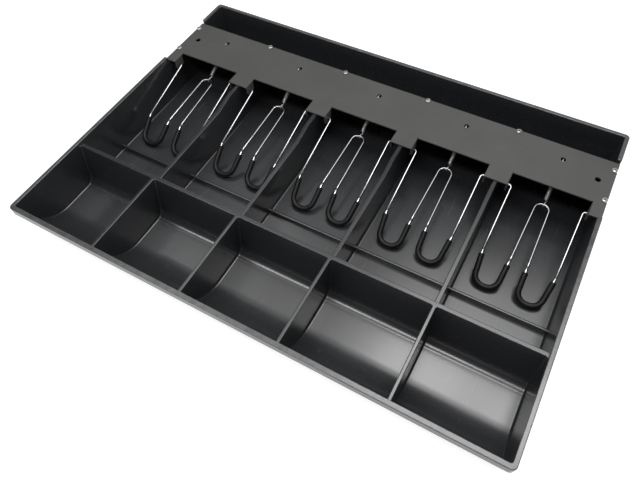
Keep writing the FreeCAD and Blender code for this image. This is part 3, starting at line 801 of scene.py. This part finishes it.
class INSERT_OT_screws(bpy.types.Operator):
    """Build the pan-head screws that hold the plate down"""

    bl_idname = "cash_insert.screws"
    bl_label = "Cover screws"

    def execute(self, context):
        finish = bright_metal("zinc_plate", (0.66, 0.66, 0.64, 1.0), low=0.2, high=0.38)
        pattern = pan_head_screw(context.scene.insert_metal.recess)
        paint(pattern, finish)
        for node, name in (
            ("rear_cover_screws", "rear_screws"),
            ("end_cover_screws", "end_screws"),
        ):
            made = []
            for number, centre in enumerate(screw_centres(node)):
                select_only(pattern)
                bpy.ops.object.duplicate(linked=False)
                screw = bpy.context.object
                screw.rotation_euler.z = SCREW_TURN * number
                screw.location = centre
                settle(screw)
                made.append(screw)
            if len(made) != SCREWS_PER_NODE:
                raise RuntimeError(f"{node} holds {len(made)} screws")
            select_only(*made)
            bpy.ops.object.join()
            group = bpy.context.object
            group.name = name
            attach(group, "tray")
            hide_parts(node)
        bpy.data.objects.remove(pattern)
        return {"FINISHED"}


def clip_route():
    """Corner points and bend radii of the whole wire, from the left pin to the right one."""
    left = [(point(-across, line, drop), bend) for across, line, drop, bend in HALF_CLIP]
    right = [(point(across, line, drop), bend) for across, line, drop, bend in HALF_CLIP[::-1]]
    whole = left + right
    corners = [corner for corner, bend in whole]
    bends = [bend * MM for corner, bend in whole[1:-1]]
    return corners, bends


class INSERT_OT_clips(bpy.types.Operator):
    """Bend the wire of each note clip"""

    bl_idname = "cash_insert.clips"
    bl_label = "Clip wires"

    def execute(self, context):
        corners, bends = clip_route()
        wire = bent_tube("clip_pattern", context.scene.insert_clip.wire, corners, bends)
        smooth(wire, TUBE_CREASE)
        chrome = bright_metal(
            "chromed_wire", (0.4, 0.405, 0.415, 1.0), low=0.06, high=0.14, line=(1.0, 0.05, 1.0)
        )
        paint(wire, chrome)
        for bay, copy in copies_in_bays(wire, "clip_wire").items():
            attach(copy, f"note_clip_{bay}")
            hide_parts(f"note_clip_wire_{bay}")
        return {"FINISHED"}


def sleeve_route(side):
    """Corner points of one loop's sleeve, from its outer end round to its inner end."""
    loop = [point(side * across, line, drop) for across, line, drop, bend in HALF_CLIP[1:6]]
    loop.append(point(side * HALF_CLIP[6][0], *HALF_CLIP[6][1:3]))
    ends = []
    for before, elbow, tip in (loop[0:3], loop[5:2:-1]):
        arriving = (elbow - before).normalized()
        leaving = (tip - elbow).normalized()
        past_bend = ELBOW_BEND * MM * math.tan(arriving.angle(leaving) / 2)
        ends.append(elbow + leaving * (past_bend + SLEEVE_START))
    return [ends[0], loop[2], loop[3], ends[1]]


class INSERT_OT_sleeves(bpy.types.Operator):
    """Slip the vinyl sleeves over the wire loops"""

    bl_idname = "cash_insert.sleeves"
    bl_label = "Vinyl sleeves"

    def execute(self, context):
        looks = context.scene.insert_clip
        vinyl = black_vinyl(looks)
        for word, side in (("left", -1), ("right", 1)):
            sleeve = bent_tube(
                f"{word}_pattern",
                looks.sleeve,
                sleeve_route(side),
                [LOOP_BEND * MM, LOOP_BEND * MM],
                sides=SLEEVE_SIDES,
                bore=looks.wire + SLEEVE_CLEARANCE,
            )
            smooth(sleeve, TUBE_CREASE)
            paint(sleeve, vinyl)
            for bay, copy in copies_in_bays(sleeve, f"{word}_vinyl").items():
                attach(copy, f"note_clip_{bay}")
                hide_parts(f"{word}_sleeve_{bay}")
        return {"FINISHED"}


def spring_points(turns):
    """A spring's middle line in two parts: the eye, coil and leader, and the hook in the plate."""
    along = (PLATE_HOOK - ARCH).normalized()
    across = Vector((1, 0, 0))
    below = along.cross(across)
    reach = (PLATE_HOOK - ARCH).length
    low_line = below * HOOK_RADIUS

    def on_circle(first_axis, second_axis, turn):
        return first_axis * math.cos(turn) + second_axis * math.sin(turn)

    eye = [
        ARCH + on_circle(along, below, math.radians(degrees)) * EYE_RADIUS
        for degrees in EYE_DEGREES
    ]
    coil = []
    steps = POINTS_PER_TURN * turns
    for step in range(steps + 1):
        rise = along * (COIL_START + COIL_LENGTH * step / steps)
        turn = 2 * math.pi * step / POINTS_PER_TURN
        coil.append(ARCH + rise + on_circle(across, below, turn) * COIL_RADIUS)
    start = COIL_START + COIL_LENGTH + COIL_RADIUS
    leader = [
        ARCH + along * run + low_line for run in (start, start + LEADER_STEP, reach - LEADER_END)
    ]
    stub = [
        ARCH + along * (reach - back) + low_line
        for back in (STUB_LENGTH, STUB_LENGTH / 2, STUB_END)
    ]
    hook = [
        PLATE_HOOK + on_circle(below, along, math.radians(degrees)) * HOOK_RADIUS
        for degrees in HOOK_DEGREES
    ]
    tail = hook[-1] - along * HOOK_TAIL
    return eye + coil + leader, stub + hook + [tail]


def wire_through(name, points, radius):
    """A smooth round wire through the points, as a mesh."""
    line = bpy.data.curves.new(name, "CURVE")
    line.dimensions = "3D"
    line.bevel_depth = radius
    line.bevel_resolution = 2
    line.use_fill_caps = True
    spline = line.splines.new("NURBS")
    spline.points.add(len(points) - 1)
    for knot, spot in zip(spline.points, points):
        knot.co = (*spot, 1.0)
    spline.use_endpoint_u = True
    spline.order_u = 3
    spline.resolution_u = 2
    item = bpy.data.objects.new(name, line)
    bpy.context.scene.collection.objects.link(item)
    select_only(item)
    bpy.ops.object.convert(target="MESH")
    wire = bpy.context.object
    clean(wire)
    smooth(wire, SPRING_CREASE)
    return wire


class INSERT_OT_springs(bpy.types.Operator):
    """Wind the springs that pull the clips down"""

    bl_idname = "cash_insert.springs"
    bl_label = "Clip springs"

    def execute(self, context):
        steel = bright_metal("spring_wire", (0.78, 0.78, 0.77, 1.0), low=0.3, high=0.42)
        moving, fixed = spring_points(context.scene.insert_clip.turns)
        coil = wire_through("coil_pattern", moving, SPRING_WIRE)
        paint(coil, steel)
        for bay, copy in copies_in_bays(coil, "spring_coil").items():
            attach(copy, f"spring_{bay}")
            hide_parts(f"clip_spring_{bay}")
        stub = wire_through("stub_pattern", fixed, SPRING_WIRE)
        paint(stub, steel)
        for copy in copies_in_bays(stub, "spring_anchor").values():
            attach(copy, "tray")
        return {"FINISHED"}


def soft_lamp(name, place, aim, width, height, brightness):
    """A rectangular soft lamp that faces a point. Its power is its brightness times pi and area."""
    bpy.ops.object.select_all(action="DESELECT")
    bpy.ops.object.light_add(type="AREA", location=place)
    lamp = bpy.context.object
    lamp.name = name
    lamp.data.shape = "RECTANGLE"
    lamp.data.size, lamp.data.size_y = width, height
    lamp.data.energy = brightness * math.pi * width * height
    lamp.rotation_euler = (Vector(aim) - Vector(place)).to_track_quat("-Z", "Y").to_euler()


class INSERT_OT_stage(bpy.types.Operator):
    """Lay the floor, hang the lamps and set the camera"""

    bl_idname = "cash_insert.stage"
    bl_label = "Stage"

    def execute(self, context):
        looks = context.scene.insert_stage
        bpy.ops.object.select_all(action="DESELECT")
        bpy.ops.mesh.primitive_plane_add(size=FLOOR_SIZE, location=(0, 0, -FLOOR_DROP))
        floor = bpy.context.object
        floor.name = "floor"
        paint(floor, pale_floor(looks))
        for name, place, aim, width, height, brightness in LAMPS:
            soft_lamp(name, place, aim, width, height, brightness * looks.light)
        studio_world(context.scene, looks)
        set_camera(context.scene, looks)
        context.scene.view_settings.view_transform = "Standard"
        return {"FINISHED"}


def pale_floor(looks):
    """A pale floor, lifted to near white where it is seen, and clear from below."""
    shader = Shader("pale_floor", looks.floor_colour, roughness=0.9)
    glow = shader.combine("MULTIPLY", seen_directly(shader), looks.floor_glow)
    from_below = shader.add("ShaderNodeNewGeometry").outputs["Backfacing"]
    shader.put("Emission Color", WHITE)
    shader.put("Emission Strength", glow)
    shader.put("Alpha", shader.combine("SUBTRACT", 1.0, from_below))
    return shader.material


def seen_directly(nodes):
    """1 where a surface is seen by the camera, in a reflection or through glass, else 0."""
    path = nodes.add("ShaderNodeLightPath")
    seen = path.outputs["Is Camera Ray"]
    for other in ("Is Glossy Ray", "Is Transmission Ray"):
        seen = nodes.combine("MAXIMUM", seen, path.outputs[other])
    return seen


def studio_world(scene, looks):
    """White to the camera; to all else a white backdrop round the horizon and a dim ceiling."""
    world = bpy.data.worlds.new("studio")
    scene.world = world
    world.use_nodes = True
    nodes = Nodes(world.node_tree)
    background = nodes.tree.nodes["Background"]
    upward = nodes.upward(nodes.add("ShaderNodeTexCoord").outputs["Generated"])
    backdrop = nodes.span(upward, 1.0, looks.ceiling, BACKDROP_TOP, CEILING_EDGE)
    seen = nodes.add("ShaderNodeLightPath").outputs["Is Camera Ray"]
    nodes.feed(background.inputs["Color"], WHITE)
    nodes.feed(background.inputs["Strength"], nodes.combine("MAXIMUM", backdrop, seen))


def set_camera(scene, looks):
    """The photograph's viewpoint, from its own perspective."""
    data = bpy.data.cameras.new("camera")
    data.lens = looks.lens
    data.sensor_width = SENSOR_WIDTH
    camera = bpy.data.objects.new("camera", data)
    scene.collection.objects.link(camera)
    turn = Matrix((VIEW_RIGHT, -VIEW_DOWN, -VIEW_AHEAD)).transposed().to_4x4()
    camera.matrix_world = Matrix.Translation(VIEW_PLACE) @ turn
    scene.camera = camera


OPERATORS = (
    INSERT_OT_tray,
    INSERT_OT_plate,
    INSERT_OT_screws,
    INSERT_OT_clips,
    INSERT_OT_sleeves,
    INSERT_OT_springs,
    INSERT_OT_stage,
)


class INSERT_PT_pieces(bpy.types.Panel):
    """The insert's pieces, in the order they are built"""

    bl_label = "Cash drawer insert"
    bl_idname = "INSERT_PT_pieces"
    bl_space_type = "VIEW_3D"
    bl_region_type = "UI"
    bl_category = "Insert"

    def draw(self, context):
        """List the operators, and then what each group of settings holds."""
        for operator in OPERATORS:
            self.layout.operator(operator.bl_idname)
        for name, group in SETTINGS.items():
            for field in group.__annotations__:
                self.layout.prop(getattr(context.scene, name), field)


SETTINGS = {
    "insert_tray": TrayLooks,
    "insert_metal": MetalLooks,
    "insert_clip": ClipLooks,
    "insert_stage": StageLooks,
}


def register():
    """Make the settings, operators and panel known to Blender."""
    for group in SETTINGS.values():
        bpy.utils.register_class(group)
    for name, group in SETTINGS.items():
        setattr(bpy.types.Scene, name, bpy.props.PointerProperty(type=group))
    for operator in OPERATORS:
        bpy.utils.register_class(operator)
    bpy.utils.register_class(INSERT_PT_pieces)


def unregister():
    """Take away what register added, last things first."""
    bpy.utils.unregister_class(INSERT_PT_pieces)
    for operator in reversed(OPERATORS):
        bpy.utils.unregister_class(operator)
    for name in SETTINGS:
        delattr(bpy.types.Scene, name)
    for group in reversed(list(SETTINGS.values())):
        bpy.utils.unregister_class(group)


def main():
    """Build every piece and the stage."""
    register()
    for operator in OPERATORS:
        getattr(bpy.ops.cash_insert, operator.bl_idname.split(".")[1])()


if __name__ == "__main__":
    main()
